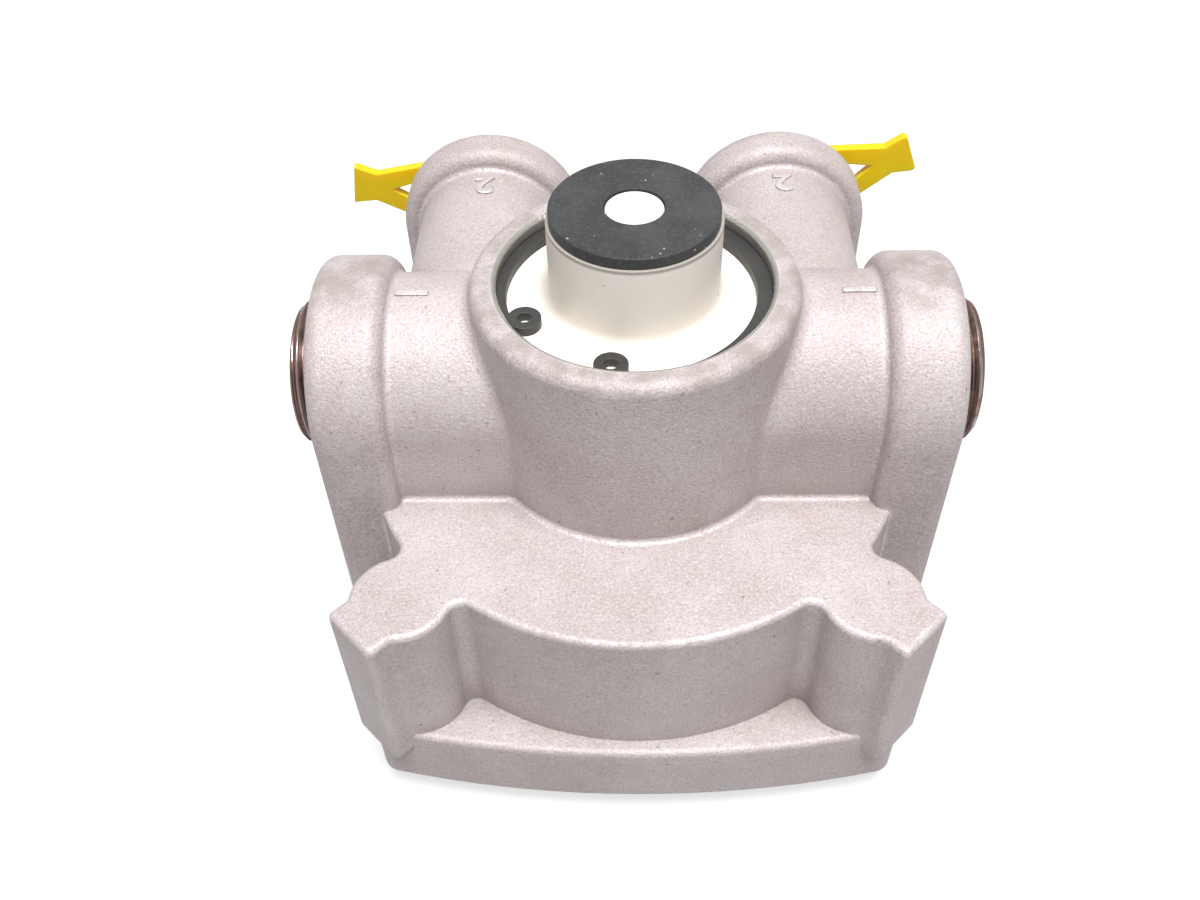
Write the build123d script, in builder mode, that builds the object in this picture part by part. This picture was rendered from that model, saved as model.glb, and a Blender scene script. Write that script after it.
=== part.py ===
from build123d import *
import math
import os

# An air brake relay valve, standing on its control cover with the exhaust up.
# Millimetres, +Z up, origin at the centre of the cover's foot, on the exhaust axis.
# The two supply ports face -X and +X, and the two delivery ports face +Y.

# Heights of the stack, from the foot up
foot_height = 5.5
cover_flange_height = 11.5
body_flange_height = 4.1
block_height = 34.2
port_axis_above_block = 15.2
rim_above_port_axis = 21.9

cover_flange_z = foot_height
parting_z = cover_flange_z + cover_flange_height
block_top_z = parting_z + block_height
port_axis_z = block_top_z + port_axis_above_block
rim_z = port_axis_z + rim_above_port_axis

# Plan of the casting: a round piston chamber with a screw lobe at each corner
chamber_bore_radius = 45.5
chamber_wall = 5.5
chamber_roof_thickness = 5.2
screw_clear_of_chamber = 6.3
lobe_radius = 9.0
lobe_nose_width = 12.0
lobe_nose_reach = 11.3
lobe_root_radius = 2.5
lobe_waist_radius = 2.0
lobe_nose_radius = 1.2
block_edge_radius = 1.0
flange_ledge_width = 2.85
flange_bulge = 3.75
flange_corner_radius = 3.6
flange_edge_radius = 1.2

chamber_radius = chamber_bore_radius + chamber_wall
screw_circle_radius = chamber_radius + screw_clear_of_chamber
nose_circle_radius = screw_circle_radius + lobe_nose_reach

# Supply ports, on one line through the axis
supply_barrel_radius = 18.3
supply_collar_radius = 21.5
supply_face_proud = 5.5
supply_collar_width = 13.5
supply_collar_rounding = 3.0
supply_port_depth = 16.5
supply_passage_radius = 11.0
supply_face_x = chamber_radius + supply_face_proud

# Delivery ports, side by side at the back
delivery_offset = 29.7
delivery_barrel_radius = 15.0
delivery_collar_radius = 18.7
delivery_face_proud = 2.0
delivery_collar_width = 9.0
delivery_collar_rounding = 2.5
delivery_port_radius = 10.5
delivery_port_depth = 18.0
delivery_passage_radius = 8.5
delivery_drop_y = 26.0
delivery_drop_radius = 7.0
delivery_face_y = chamber_radius + delivery_face_proud

# Neck that holds the exhaust cover
neck_radius = 28.8
exhaust_bore_radius = 24.0
supply_cavity_radius = 22.0
rim_outer_rounding = 2.2
rim_inner_chamfer = 0.5
exhaust_shoulder_depth = 9.8
supply_blend_radius = 2.5
delivery_blend_radius = 1.8
crown_root_radius = 1.0

exhaust_shoulder_z = rim_z - exhaust_shoulder_depth

# Inlet seat between the delivery chamber and the supply cavity
seat_floor_above_block = 4.8
seat_height = 2.0
seat_bore_radius = 12.0
seat_width = 1.6

seat_floor_z = block_top_z + seat_floor_above_block
inlet_seat_z = seat_floor_z + seat_height

# Cover screws, M8 low-head cap screws
screw_radius = 4.0
screw_length = 30.0
screw_head_radius = 6.5
screw_head_height = 5.0
screw_socket_width = 5.0
screw_socket_depth = 3.0
screw_head_chamfer = 0.5
screw_hole_clearance = 0.4
tapped_hole_clearance = 0.05
tapped_hole_spare = 2.0

# Control cover
foot_radius = 40.0
spigot_height = 3.0
spigot_wall = 4.4
spigot_clearance = 0.1
control_floor_above_flange = 6.5
control_port_radius = 7.3
mounting_hole_spacing = 57.2
mounting_hole_radius = 4.1
mounting_hole_depth = 9.5
cover_edge_radius = 1.2
cover_seal_section = 1.0
cover_seal_radius = 48.1
cover_groove_side_clearance = 0.15

# Relay piston
piston_clearance = 0.4
piston_floor = 5.0
piston_skirt_height = 12.0
piston_skirt_wall = 4.2
piston_groove_z = 3.4
piston_groove_height = 3.6
piston_groove_depth = 2.4
piston_seal_section = 1.2
piston_stem_radius = 9.3
exhaust_seat_width = 1.6
exhaust_seat_height = 3.0
exhaust_gap = 1.8
piston_rib_count = 6
piston_rib_thickness = 2.0
piston_rib_height = 4.0

# Springs
piston_spring_radius = 20.0
piston_spring_wire = 0.9
piston_spring_turns = 4
valve_spring_radius = 11.6
valve_spring_wire = 0.7
valve_spring_turns = 5

# Inlet and exhaust valve, a tube with a flange and a rubber face
valve_tube_radius = 8.5
valve_tube_bore = 6.5
valve_face_radius = 14.2
valve_face_bore = 6.5
valve_face_thickness = 2.5
valve_flange_thickness = 2.5
valve_retainer_wall = 1.0
valve_retainer_inset = 0.6
valve_tube_top_drop = 0.55

# Exhaust cover with its guide and its drum
guide_clearance = 0.3
guide_wall = 1.5
guide_length = 8.5
exhaust_cover_clearance = 0.15
ring_thickness = 1.75
ring_top_depth = 2.4
drum_radius = 14.8
drum_wall = 2.0
drum_root_radius = 3.0
drum_height = 16.15
drum_web = 2.4
drum_hub_radius = 4.4
drum_window_count = 6
drum_window_web = 2.0
stem_seal_height = 1.8
stem_seal_section = 0.9
stem_washer_drop = 0.4
stem_retainer_thickness = 1.0
cover_ring_groove_height = 2.6
cover_ring_groove_depth = 2.1
cover_ring_section = 1.0
spring_seat_thickness = 0.8

# Retaining ring, an internal circlip with two lugs
ring_groove_depth = 1.2
ring_groove_side_clearance = 0.1
ring_mean_inner_radius = 21.75
ring_eccentricity = 0.85
ring_gap_angle = -128.7
ring_lug_half_angle = 27.6
ring_lug_radius = 2.9
ring_lug_circle_radius = 20.4
ring_lug_hole_radius = 1.25

# Rubber flap and the stud that holds it
flap_radius = 14.3
flap_thickness = 2.1
flap_edge_radius = 0.2
stud_head_radius = 4.95
stud_head_height = 1.1
stud_head_drop = 0.25
stud_head_rounding = 0.4
stud_radius = 2.2
stud_barb_radius = 2.7
stud_barb_height = 1.6
stud_clearance = 0.15

# Steel bushings of the supply ports, 3/4 inch pipe thread outside, 1/2 inch inside
bushing_radius = 13.33
bushing_bore_radius = 9.15
bushing_proud = 4.3
bushing_clearance = 0.07
bushing_chamfer = 0.8

# Pull plugs of the delivery ports
plug_clearance = 0.1
plug_taper = 0.35
plug_insert_length = 12.0
plug_wall = 1.6
plug_disc_radius = 13.4
plug_disc_thickness = 1.8
plug_boss_radius = 12.2
tab_thickness = 2.0
tab_neck_u = 26.0
tab_neck_half_width = 3.2
tab_end_u = 30.8
tab_end_half_width = 4.4
tab_corner_radius = 0.8
tab_hole_apex_u = 22.6
tab_leg_width = 3.0
left_tab_angle = 8.6
right_tab_angle = 21.0

# Planes that several pieces share
chamber_roof_z = block_top_z - chamber_roof_thickness
control_floor_z = cover_flange_z + control_floor_above_flange
piston_rest_z = parting_z + spigot_height
ring_top_z = rim_z - ring_top_depth
ring_bottom_z = ring_top_z - ring_thickness
exhaust_plate_radius = exhaust_bore_radius - exhaust_cover_clearance
drum_top_z = ring_bottom_z + drum_height
flap_top_z = drum_top_z + flap_thickness
valve_tube_top_z = ring_bottom_z - valve_tube_top_drop
guide_bore_radius = valve_tube_radius + guide_clearance
valve_flange_top_z = inlet_seat_z + valve_face_thickness + valve_flange_thickness
back_plane = Plane(origin=(0, 0, 0), x_dir=(-1, 0, 0), z_dir=(0, 1, 0))

# How far an edge may stray from the level or radius that selects it
edge_tolerance = 0.01

os.makedirs("parts", exist_ok=True)


def plan_radius(point):
    """Distance of a point from the exhaust axis, in plan."""
    return math.hypot(point.X, point.Y)


def at_radius(point, radius):
    """Whether a point lies at this distance from the exhaust axis."""
    return abs(plan_radius(point) - radius) < edge_tolerance


def lies_at(edge, side, level):
    """Whether the whole of an edge lies in one plane square to X, Y or Z."""
    box = edge.bounding_box()
    return max(abs(getattr(box.min, side) - level), abs(getattr(box.max, side) - level)) < edge_tolerance


def arch(centre_x, radius):
    """Outline of a port from its end, round on top with straight sides down to the parting face."""
    with Locations((centre_x, port_axis_z)):
        Circle(radius)
    with Locations((centre_x, (port_axis_z + parting_z) / 2)):
        Rectangle(2 * radius, port_axis_z - parting_z)


# Flange outline, four bulged sides that meet in a rounded corner under each lobe
side_reach = chamber_radius + flange_ledge_width
side_half_length = screw_circle_radius / math.sqrt(2)
side_arc_radius = (side_half_length**2 + flange_bulge**2) / (2 * flange_bulge)
with BuildSketch() as flange_plan:
    Circle(side_arc_radius * 2)
    for turn in range(4):
        with PolarLocations(side_arc_radius - side_reach, 1, start_angle=90 * turn):
            Circle(side_arc_radius, mode=Mode.INTERSECT)
    fillet(flange_plan.vertices(), flange_corner_radius)

# Block of the casting: the round chamber with a screw boss and a blunt nose at each corner
with BuildPart() as block:
    with BuildSketch(Plane.XY.offset(parting_z)) as block_outline:
        with PolarLocations(nose_circle_radius / 2, 4, start_angle=45):
            Rectangle(nose_circle_radius, lobe_nose_width)
        with PolarLocations(screw_circle_radius, 4, start_angle=45):
            Circle(lobe_radius)
        Circle(chamber_radius)
        roots = block_outline.vertices().filter_by(lambda v: at_radius(v, chamber_radius))
        fillet(roots, lobe_root_radius)
        tip_radius = math.hypot(nose_circle_radius, lobe_nose_width / 2)
        waist_reach = screw_circle_radius + math.sqrt(lobe_radius**2 - (lobe_nose_width / 2) ** 2)
        waist_radius = math.hypot(waist_reach, lobe_nose_width / 2)
        waists = block_outline.vertices().filter_by(lambda v: at_radius(v, waist_radius))
        fillet(waists, lobe_waist_radius)
        tips = block_outline.vertices().filter_by(lambda v: at_radius(v, tip_radius))
        fillet(tips, lobe_nose_radius)
    extrude(amount=block_height)
    fillet(block.faces().sort_by(Axis.Z)[-1].edges(), block_edge_radius)

# Flange of the casting, flush with the cover
with BuildPart() as body_flange:
    with BuildSketch(Plane.XY.offset(parting_z)):
        add(flange_plan.sketch)
    extrude(amount=body_flange_height)
    fillet(body_flange.faces().sort_by(Axis.Z)[-1].edges(), flange_edge_radius)

# Supply collar on the +X side
with BuildPart() as supply_collar:
    with BuildSketch(Plane.YZ.offset(supply_face_x - supply_collar_width)):
        arch(0, supply_collar_radius)
    extrude(amount=supply_collar_width)
    ends = supply_collar.faces().filter_by(Axis.X).edges()
    fillet(ends.filter_by(lambda e: not lies_at(e, "Z", parting_z)), supply_collar_rounding)

# Delivery collar on the +X side of the back
with BuildPart() as delivery_collar:
    with BuildSketch(back_plane.offset(delivery_face_y - delivery_collar_width)):
        arch(-delivery_offset, delivery_collar_radius)
    extrude(amount=delivery_collar_width)
    ends = delivery_collar.faces().filter_by(Axis.Y).edges()
    fillet(ends.filter_by(lambda e: not lies_at(e, "Z", parting_z)), delivery_collar_rounding)

# Neck and supply barrels of the casting, blended where they meet
with BuildPart() as neck:
    with BuildSketch(Plane.XY.offset(parting_z)):
        Circle(neck_radius)
    extrude(amount=rim_z - parting_z)
    fillet(neck.faces().sort_by(Axis.Z)[-1].edges(), rim_outer_rounding)
    with BuildSketch(Plane.YZ.offset(-supply_face_x + supply_collar_width / 2)):
        arch(0, supply_barrel_radius)
    extrude(amount=2 * supply_face_x - supply_collar_width)
    crotches = neck.edges(Select.NEW).filter_by(lambda e: at_radius(e @ 0.5, neck_radius))
    fillet(crotches, supply_blend_radius)

# Crown of the casting, the neck with all four port barrels
with BuildPart() as crown:
    add(neck.part)
    with BuildSketch(back_plane):
        arch(-delivery_offset, delivery_barrel_radius)
        arch(delivery_offset, delivery_barrel_radius)
    extrude(amount=delivery_face_y - delivery_collar_width / 2)
    crotches = crown.edges(Select.NEW).filter_by(lambda e: e.bounding_box().max.Y < neck_radius)
    fillet(crotches, delivery_blend_radius)

# Cast body, with every passage that the air takes through it
with BuildPart() as valve_body:
    add(block.part)
    add(body_flange.part)
    add(crown.part)
    add(supply_collar.part)
    mirror(supply_collar.part, about=Plane.YZ)
    add(delivery_collar.part)
    mirror(delivery_collar.part, about=Plane.YZ)
    # roots of the crown on the block, and of the collars on their barrels
    supply_root_x = supply_face_x - supply_collar_width
    delivery_root_y = delivery_face_y - delivery_collar_width
    crown_reach = math.hypot(supply_root_x, supply_barrel_radius)
    block_roots = valve_body.edges().filter_by(
        lambda e: lies_at(e, "Z", block_top_z)
        and not lies_at(e, "Y", delivery_root_y)
        and max(plan_radius(v) for v in e.vertices()) < crown_reach + edge_tolerance
    )
    lowest_z = block_top_z - edge_tolerance
    upper_edges = valve_body.edges().filter_by(lambda e: e.bounding_box().min.Z > lowest_z)
    supply_roots = upper_edges.filter_by(
        lambda e: (lies_at(e, "X", supply_root_x) or lies_at(e, "X", -supply_root_x))
        and abs(e.center().Y) < supply_barrel_radius + edge_tolerance
        and max(abs(v.Y) for v in e.vertices()) < supply_barrel_radius + edge_tolerance
    )
    delivery_roots = upper_edges.filter_by(
        lambda e: lies_at(e, "Y", delivery_root_y)
        and abs(abs(e.center().X) - delivery_offset) < delivery_barrel_radius + edge_tolerance
        and e.bounding_box().max.Z < port_axis_z + delivery_barrel_radius + edge_tolerance
    )
    fillet(block_roots + supply_roots + delivery_roots, crown_root_radius)
    # piston chamber
    with BuildSketch(Plane.XY.offset(parting_z)):
        Circle(chamber_bore_radius)
    extrude(amount=chamber_roof_z - parting_z, mode=Mode.SUBTRACT)
    # supply cavity, inlet seat and exhaust cover bore
    with BuildSketch(Plane.XY.offset(seat_floor_z)):
        Circle(supply_cavity_radius)
        Circle(seat_bore_radius + seat_width, mode=Mode.SUBTRACT)
    extrude(amount=seat_height, mode=Mode.SUBTRACT)
    with BuildSketch(Plane.XY.offset(inlet_seat_z)):
        Circle(supply_cavity_radius)
    extrude(amount=rim_z - inlet_seat_z, mode=Mode.SUBTRACT)
    with BuildSketch(Plane.XY.offset(chamber_roof_z)):
        Circle(seat_bore_radius)
    extrude(amount=rim_z - chamber_roof_z, mode=Mode.SUBTRACT)
    with BuildSketch(Plane.XY.offset(exhaust_shoulder_z)):
        Circle(exhaust_bore_radius)
    extrude(amount=rim_z - exhaust_shoulder_z, mode=Mode.SUBTRACT)
    chamfer(valve_body.faces().sort_by(Axis.Z)[-1].inner_wires().edges(), rim_inner_chamfer)
    with BuildSketch(Plane.XY.offset(ring_bottom_z - ring_groove_side_clearance)):
        Circle(exhaust_bore_radius + ring_groove_depth)
    extrude(amount=ring_thickness + 2 * ring_groove_side_clearance, mode=Mode.SUBTRACT)
    # supply ports and passages
    for side in (1, -1):
        with BuildSketch(Plane.YZ.offset(side * supply_face_x)):
            with Locations((0, port_axis_z)):
                Circle(bushing_radius + bushing_clearance)
        extrude(amount=-side * supply_port_depth, mode=Mode.SUBTRACT)
        with BuildSketch(Plane.YZ.offset(side * supply_face_x)):
            with Locations((0, port_axis_z)):
                Circle(supply_passage_radius)
        extrude(amount=-side * (supply_face_x - supply_cavity_radius / 2), mode=Mode.SUBTRACT)
    # delivery ports, and the drop from each down to the delivery chamber
    for side in (1, -1):
        with BuildSketch(back_plane.offset(delivery_face_y)):
            with Locations((side * delivery_offset, port_axis_z)):
                Circle(delivery_port_radius)
        extrude(amount=-delivery_port_depth, mode=Mode.SUBTRACT)
        with BuildSketch(back_plane.offset(delivery_face_y)):
            with Locations((side * delivery_offset, port_axis_z)):
                Circle(delivery_passage_radius)
        extrude(amount=-(delivery_face_y - delivery_drop_y), mode=Mode.SUBTRACT)
        with BuildSketch(Plane.XY.offset(chamber_roof_z)):
            with Locations((side * delivery_offset, delivery_drop_y)):
                Circle(delivery_drop_radius)
        extrude(amount=port_axis_z - chamber_roof_z, mode=Mode.SUBTRACT)
    # tapped holes for the cover screws
    with BuildSketch(Plane.XY.offset(parting_z)):
        with PolarLocations(screw_circle_radius, 4, start_angle=45):
            Circle(screw_radius + tapped_hole_clearance)
    extrude(amount=cover_flange_z + screw_length + tapped_hole_spare - parting_z, mode=Mode.SUBTRACT)

valve_body.part.label = "valve_body"
export_step(valve_body.part, "parts/valve_body.step")

# Control cover, with its foot, port, mounting holes and the spigot that centres it
with BuildPart() as cover:
    with BuildSketch(Plane.XY.offset(cover_flange_z)):
        add(flange_plan.sketch)
    extrude(amount=cover_flange_height)
    fillet(cover.faces().sort_by(Axis.Z)[0].edges(), cover_edge_radius)
    with BuildSketch():
        Circle(foot_radius)
    extrude(amount=cover_flange_z)
    fillet(cover.faces().sort_by(Axis.Z)[0].edges(), cover_edge_radius)
    with BuildSketch(Plane.XY.offset(parting_z)):
        Circle(chamber_bore_radius - spigot_clearance)
    extrude(amount=spigot_height)
    with BuildSketch(Plane.XY.offset(control_floor_z)):
        Circle(chamber_bore_radius - spigot_clearance - spigot_wall)
    extrude(amount=piston_rest_z - control_floor_z, mode=Mode.SUBTRACT)
    with BuildSketch():
        Circle(control_port_radius)
    extrude(amount=control_floor_z, mode=Mode.SUBTRACT)
    with BuildSketch():
        with GridLocations(mounting_hole_spacing, 0, 2, 1):
            Circle(mounting_hole_radius)
    extrude(amount=mounting_hole_depth, mode=Mode.SUBTRACT)
    with BuildSketch(Plane.XY.offset(cover_flange_z)):
        with PolarLocations(screw_circle_radius, 4, start_angle=45):
            Circle(screw_radius + screw_hole_clearance)
    extrude(amount=cover_flange_height, mode=Mode.SUBTRACT)
    with BuildSketch(Plane.XY.offset(parting_z)):
        Circle(cover_seal_radius + cover_seal_section + cover_groove_side_clearance)
        Circle(cover_seal_radius - cover_seal_section - cover_groove_side_clearance, mode=Mode.SUBTRACT)
    extrude(amount=-2 * cover_seal_section, mode=Mode.SUBTRACT)

cover.part.label = "cover"
export_step(cover.part, "parts/cover.step")

# Seal ring of the cover, squeezed flush with the parting face
with BuildPart() as cover_seal:
    with BuildSketch(Plane.XZ):
        with Locations((cover_seal_radius, parting_z - cover_seal_section)):
            Circle(cover_seal_section)
    revolve(axis=Axis.Z)

cover_seal.part.label = "cover_seal"
export_step(cover_seal.part, "parts/cover_seal.step")

# Cover screws, four alike
with BuildPart() as cover_screws:
    with BuildSketch(Plane.XY.offset(cover_flange_z)):
        with PolarLocations(screw_circle_radius, 4, start_angle=45):
            Circle(screw_head_radius)
    extrude(amount=-screw_head_height)
    chamfer(cover_screws.faces().group_by(Axis.Z)[0].edges(), screw_head_chamfer)
    with BuildSketch(Plane.XY.offset(cover_flange_z)):
        with PolarLocations(screw_circle_radius, 4, start_angle=45):
            Circle(screw_radius)
    extrude(amount=screw_length)
    with BuildSketch(Plane.XY.offset(cover_flange_z - screw_head_height)):
        with PolarLocations(screw_circle_radius, 4, start_angle=45):
            RegularPolygon(screw_socket_width / 2, 6, major_radius=False)
    extrude(amount=screw_socket_depth, mode=Mode.SUBTRACT)

cover_screws.part.label = "cover_screws"
export_step(cover_screws.part, "parts/cover_screws.step")

# Relay piston, a cup that opens towards the delivery side, with the exhaust seat on its stem
piston_radius = chamber_bore_radius - piston_clearance
piston_floor_top_z = piston_rest_z + piston_floor
exhaust_seat_z = inlet_seat_z - exhaust_gap
with BuildPart() as relay_piston:
    with BuildSketch(Plane.XY.offset(piston_rest_z)):
        Circle(piston_radius)
    extrude(amount=piston_skirt_height)
    with BuildSketch(Plane.XY.offset(piston_floor_top_z)):
        Circle(piston_radius - piston_skirt_wall)
    extrude(amount=piston_skirt_height - piston_floor, mode=Mode.SUBTRACT)
    with BuildSketch(Plane.XY.offset(piston_floor_top_z)):
        Circle(piston_stem_radius)
    extrude(amount=exhaust_seat_z - piston_floor_top_z)
    with BuildSketch(Plane.XY.offset(exhaust_seat_z)):
        Circle(piston_stem_radius - exhaust_seat_width)
    extrude(amount=-exhaust_seat_height, mode=Mode.SUBTRACT)
    rib_inner = piston_spring_radius + 2 * piston_spring_wire
    rib_length = piston_radius - piston_skirt_wall / 2 - rib_inner
    with BuildSketch(Plane.XY.offset(piston_floor_top_z)):
        with PolarLocations(rib_inner + rib_length / 2, piston_rib_count):
            Rectangle(rib_length, piston_rib_thickness)
    extrude(amount=piston_rib_height)
    with BuildSketch(Plane.XY.offset(piston_rest_z + piston_groove_z)):
        Circle(piston_radius)
        Circle(piston_radius - piston_groove_depth, mode=Mode.SUBTRACT)
    extrude(amount=piston_groove_height, mode=Mode.SUBTRACT)

relay_piston.part.label = "relay_piston"
export_step(relay_piston.part, "parts/relay_piston.step")

# Seal ring of the piston, in its groove
piston_seal_z = piston_rest_z + piston_groove_z + piston_groove_height / 2
with BuildPart() as piston_seal:
    with BuildSketch(Plane.XZ):
        with Locations((piston_radius - piston_seal_section, piston_seal_z)):
            Circle(piston_seal_section)
    revolve(axis=Axis.Z)

piston_seal.part.label = "piston_seal"
export_step(piston_seal.part, "parts/piston_seal.step")


def coil_path(mean_radius, wire_radius, turns, low_z, high_z):
    """Centre line of a compression spring from one seat to the other."""
    height = high_z - low_z - 2 * wire_radius
    return Helix(height / turns, height, mean_radius, center=(0, 0, low_z + wire_radius))


# Return spring of the piston
piston_spring_size = (piston_spring_radius, piston_spring_wire, piston_spring_turns)
with BuildPart() as piston_spring:
    with BuildLine() as piston_coil:
        add(coil_path(*piston_spring_size, piston_floor_top_z, chamber_roof_z))
    with BuildSketch(Plane(origin=piston_coil.line @ 0, z_dir=piston_coil.line % 0)):
        Circle(piston_spring_wire)
    sweep(path=piston_coil.line, is_frenet=True)

piston_spring.part.label = "piston_spring"
export_step(piston_spring.part, "parts/piston_spring.step")

# Inlet and exhaust valve, a hollow tube on a flange
valve_face_top_z = inlet_seat_z + valve_face_thickness
with BuildPart() as inlet_exhaust_valve:
    with BuildSketch(Plane.XY.offset(valve_face_top_z)):
        Circle(valve_face_radius)
    extrude(amount=valve_flange_thickness)
    with BuildSketch(Plane.XY.offset(valve_flange_top_z)):
        Circle(valve_tube_radius)
    extrude(amount=valve_tube_top_z - valve_flange_top_z)
    with BuildSketch(Plane.XY.offset(valve_face_top_z)):
        Circle(valve_tube_bore)
    extrude(amount=valve_tube_top_z - valve_face_top_z, mode=Mode.SUBTRACT)
    chamfer(inlet_exhaust_valve.faces().sort_by(Axis.Z)[-1].outer_wire().edges(), rim_inner_chamfer)

inlet_exhaust_valve.part.label = "inlet_exhaust_valve"
export_step(inlet_exhaust_valve.part, "parts/inlet_exhaust_valve.step")

# Rubber face of the valve
with BuildPart() as valve_face:
    with BuildSketch(Plane.XY.offset(inlet_seat_z)):
        Circle(valve_face_radius)
        Circle(valve_face_bore, mode=Mode.SUBTRACT)
    extrude(amount=valve_face_thickness)

valve_face.part.label = "valve_face"
export_step(valve_face.part, "parts/valve_face.step")

# Steel band that holds the rubber face to the flange
with BuildPart() as valve_face_band:
    with BuildSketch(Plane.XY.offset(inlet_seat_z + valve_retainer_inset)):
        Circle(valve_face_radius + valve_retainer_wall)
        Circle(valve_face_radius, mode=Mode.SUBTRACT)
    extrude(amount=valve_flange_top_z - inlet_seat_z - valve_retainer_inset)

valve_face_band.part.label = "valve_face_band"
export_step(valve_face_band.part, "parts/valve_face_band.step")

# Washer that the valve spring pushes against
spring_seat_z = exhaust_shoulder_z - spring_seat_thickness
with BuildPart() as valve_spring_seat:
    with BuildSketch(Plane.XY.offset(spring_seat_z)):
        Circle(valve_spring_radius + 3 * valve_spring_wire)
        Circle(guide_bore_radius + guide_wall + exhaust_cover_clearance, mode=Mode.SUBTRACT)
    extrude(amount=spring_seat_thickness)

valve_spring_seat.part.label = "valve_spring_seat"
export_step(valve_spring_seat.part, "parts/valve_spring_seat.step")

# Spring that closes the inlet valve
valve_spring_size = (valve_spring_radius, valve_spring_wire, valve_spring_turns)
with BuildPart() as valve_spring:
    with BuildLine() as valve_coil:
        add(coil_path(*valve_spring_size, valve_flange_top_z, spring_seat_z))
    with BuildSketch(Plane(origin=valve_coil.line @ 0, z_dir=valve_coil.line % 0)):
        Circle(valve_spring_wire)
    sweep(path=valve_coil.line, is_frenet=True)

valve_spring.part.label = "valve_spring"
export_step(valve_spring.part, "parts/valve_spring.step")

# Exhaust cover: plate, guide tube below it and slotted drum above it
pocket_radius = drum_radius - drum_wall
stem_pocket_z = ring_bottom_z - stem_retainer_thickness - stem_seal_height - stem_washer_drop
with BuildPart() as exhaust_cover:
    with BuildSketch(Plane.XY.offset(exhaust_shoulder_z)):
        Circle(exhaust_plate_radius)
    extrude(amount=ring_bottom_z - exhaust_shoulder_z)
    with BuildSketch(Plane.XY.offset(ring_bottom_z)):
        Circle(drum_radius)
    extrude(amount=drum_height)
    drum_foot = exhaust_cover.edges().filter_by(GeomType.CIRCLE).filter_by(
        lambda e: abs(e.radius - drum_radius) < edge_tolerance and lies_at(e, "Z", ring_bottom_z)
    )
    fillet(drum_foot, drum_root_radius)
    with BuildSketch(Plane.XY.offset(exhaust_shoulder_z)):
        Circle(guide_bore_radius + guide_wall)
    extrude(amount=-guide_length)
    with BuildSketch(Plane.XY.offset(exhaust_shoulder_z - guide_length)):
        Circle(guide_bore_radius)
    extrude(amount=drum_top_z - drum_web - exhaust_shoulder_z + guide_length, mode=Mode.SUBTRACT)
    with BuildSketch(Plane.XY.offset(stem_pocket_z)):
        Circle(pocket_radius)
    extrude(amount=drum_top_z - drum_web - stem_pocket_z, mode=Mode.SUBTRACT)
    with BuildSketch(Plane.XY.offset(drum_top_z - drum_web)):
        Circle(pocket_radius)
        Circle(drum_hub_radius, mode=Mode.SUBTRACT)
        with PolarLocations(pocket_radius / 2 + drum_hub_radius / 2, drum_window_count):
            Rectangle(2 * pocket_radius, drum_window_web, mode=Mode.SUBTRACT)
    extrude(amount=drum_web, mode=Mode.SUBTRACT)
    with BuildSketch(Plane.XY.offset(drum_top_z - drum_web)):
        Circle(stud_radius + stud_clearance)
    extrude(amount=drum_web, mode=Mode.SUBTRACT)
    groove_z = (exhaust_shoulder_z + ring_bottom_z - cover_ring_groove_height) / 2
    with BuildSketch(Plane.XY.offset(groove_z)):
        Circle(exhaust_plate_radius)
        Circle(exhaust_plate_radius - cover_ring_groove_depth, mode=Mode.SUBTRACT)
    extrude(amount=cover_ring_groove_height, mode=Mode.SUBTRACT)

exhaust_cover.part.label = "exhaust_cover"
export_step(exhaust_cover.part, "parts/exhaust_cover.step")

# Seal ring round the exhaust cover
with BuildPart() as exhaust_cover_seal:
    with BuildSketch(Plane.XZ):
        with Locations((exhaust_bore_radius - cover_ring_section, groove_z + cover_ring_groove_height / 2)):
            Circle(cover_ring_section)
    revolve(axis=Axis.Z)

exhaust_cover_seal.part.label = "exhaust_cover_seal"
export_step(exhaust_cover_seal.part, "parts/exhaust_cover_seal.step")

# Seal ring round the valve's tube, in the pocket at the top of the guide
with BuildPart() as valve_stem_seal:
    with BuildSketch(Plane.XZ):
        with Locations((guide_bore_radius + stem_seal_section, stem_pocket_z + stem_seal_section)):
            Circle(stem_seal_section)
    revolve(axis=Axis.Z)

valve_stem_seal.part.label = "valve_stem_seal"
export_step(valve_stem_seal.part, "parts/valve_stem_seal.step")

# Washer pressed into the pocket over that seal
with BuildPart() as stem_seal_washer:
    with BuildSketch(Plane.XY.offset(stem_pocket_z + stem_seal_height)):
        Circle(pocket_radius)
        Circle(guide_bore_radius, mode=Mode.SUBTRACT)
    extrude(amount=stem_retainer_thickness)

stem_seal_washer.part.label = "stem_seal_washer"
export_step(stem_seal_washer.part, "parts/stem_seal_washer.step")

# Retaining ring, widest opposite its gap, with a holed lug at each end
gap_direction = math.radians(ring_gap_angle)
ring_inner_x = ring_eccentricity * math.cos(gap_direction)
ring_inner_y = ring_eccentricity * math.sin(gap_direction)
with BuildPart() as retaining_ring:
    with BuildSketch(Plane.XY.offset(ring_bottom_z)):
        Circle(exhaust_bore_radius + ring_groove_depth - ring_groove_side_clearance)
        with Locations((ring_inner_x, ring_inner_y)):
            Circle(ring_mean_inner_radius, mode=Mode.SUBTRACT)
        with BuildLine():
            reach = 2 * exhaust_bore_radius
            gap_ends = [math.radians(ring_gap_angle + side * ring_lug_half_angle) for side in (-1, 1)]
            Polyline((0, 0), *[(reach * math.cos(a), reach * math.sin(a)) for a in gap_ends], close=True)
        make_face(mode=Mode.SUBTRACT)
        first_lug = ring_gap_angle - ring_lug_half_angle
        with PolarLocations(ring_lug_circle_radius, 2, first_lug, 4 * ring_lug_half_angle):
            Circle(ring_lug_radius)
            Circle(ring_lug_hole_radius, mode=Mode.SUBTRACT)
    extrude(amount=ring_thickness)

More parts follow.
